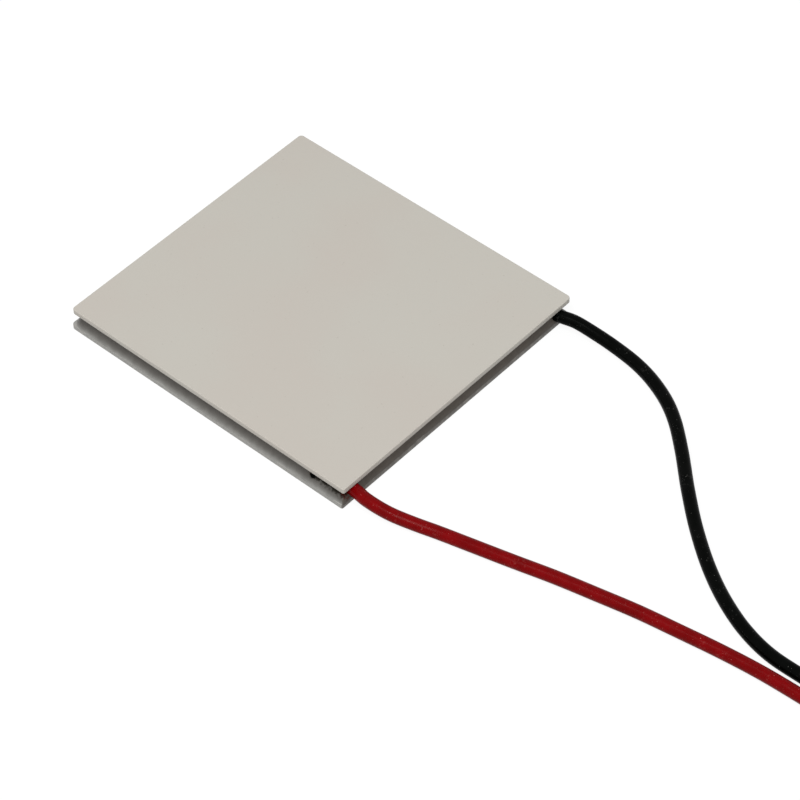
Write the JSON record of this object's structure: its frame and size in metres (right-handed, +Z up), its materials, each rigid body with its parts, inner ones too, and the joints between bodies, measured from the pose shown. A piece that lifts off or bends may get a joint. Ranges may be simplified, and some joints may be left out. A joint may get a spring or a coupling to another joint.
{
  "type": "thermoelectric cooling module",
  "caption": "Flat thermoelectric cooling module: two white ceramic plates with a sealed edge, copper tabs and telluride legs between them, and a red and a black lead from one side.",
  "frame": {"origin": "centre of the module's underside, midway between the two plates' outlines", "axes": "+Z up through the cold (upper) plate, +Y along the module's longer side away from the leads, +X along the lead side, with the red lead at -X and the black one at +X"},
  "size_m": [0.0543, 0.1314, 0.0033],
  "materials": {
    "alumina": "matt sintered alumina",
    "edge_seal": "satin silicone sealant",
    "copper_tab": "bare copper",
    "solder": "dull solder",
    "n_type_telluride": "sawn crystalline metal",
    "p_type_telluride": "sawn crystalline metal",
    "tinned_strands": "tinned copper strands",
    "red_insulation": "satin PVC insulation",
    "black_insulation": "satin PVC insulation",
    "twist_tie": "plastic-covered wire"
  },
  "bodies": {
    "root": {"lower_ceramic": "alumina", "upper_ceramic": "alumina", "perimeter_seal": "edge_seal", "lower_tabs": "copper_tab", "upper_tabs": "copper_tab", "upper_cross_tabs": "copper_tab", "red_terminal_pad": "copper_tab", "black_terminal_pad": "copper_tab", "lower_solder": "solder", "upper_solder": "solder", "n_legs_row_01": "n_type_telluride", "n_legs_row_02": "n_type_telluride", "n_legs_row_03": "n_type_telluride", "n_legs_row_04": "n_type_telluride", "n_legs_row_05": "n_type_telluride", "n_legs_row_06": "n_type_telluride", "n_legs_row_07": "n_type_telluride", "n_legs_row_08": "n_type_telluride", "n_legs_row_09": "n_type_telluride", "n_legs_row_10": "n_type_telluride", "n_legs_row_11": "n_type_telluride", "n_legs_row_12": "n_type_telluride", "n_legs_row_13": "n_type_telluride", "n_legs_row_14": "n_type_telluride", "n_legs_row_15": "n_type_telluride", "n_legs_row_16": "n_type_telluride", "p_legs_row_01": "p_type_telluride", "p_legs_row_02": "p_type_telluride", "p_legs_row_03": "p_type_telluride", "p_legs_row_04": "p_type_telluride", "p_legs_row_05": "p_type_telluride", "p_legs_row_06": "p_type_telluride", "p_legs_row_07": "p_type_telluride", "p_legs_row_08": "p_type_telluride", "p_legs_row_09": "p_type_telluride", "p_legs_row_10": "p_type_telluride", "p_legs_row_11": "p_type_telluride", "p_legs_row_12": "p_type_telluride", "p_legs_row_13": "p_type_telluride", "p_legs_row_14": "p_type_telluride", "p_legs_row_15": "p_type_telluride", "p_legs_row_16": "p_type_telluride", "red_inner_end": "tinned_strands", "black_inner_end": "tinned_strands", "red_joint_solder": "solder", "black_joint_solder": "solder", "red_lead": "red_insulation", "black_lead": "black_insulation", "red_lead_coil": "red_insulation", "black_lead_coil": "black_insulation", "red_lead_tip": "tinned_strands", "black_lead_tip": "tinned_strands", "red_lead_tie": "twist_tie", "black_lead_tie": "twist_tie"}
  },
  "joints": []
}
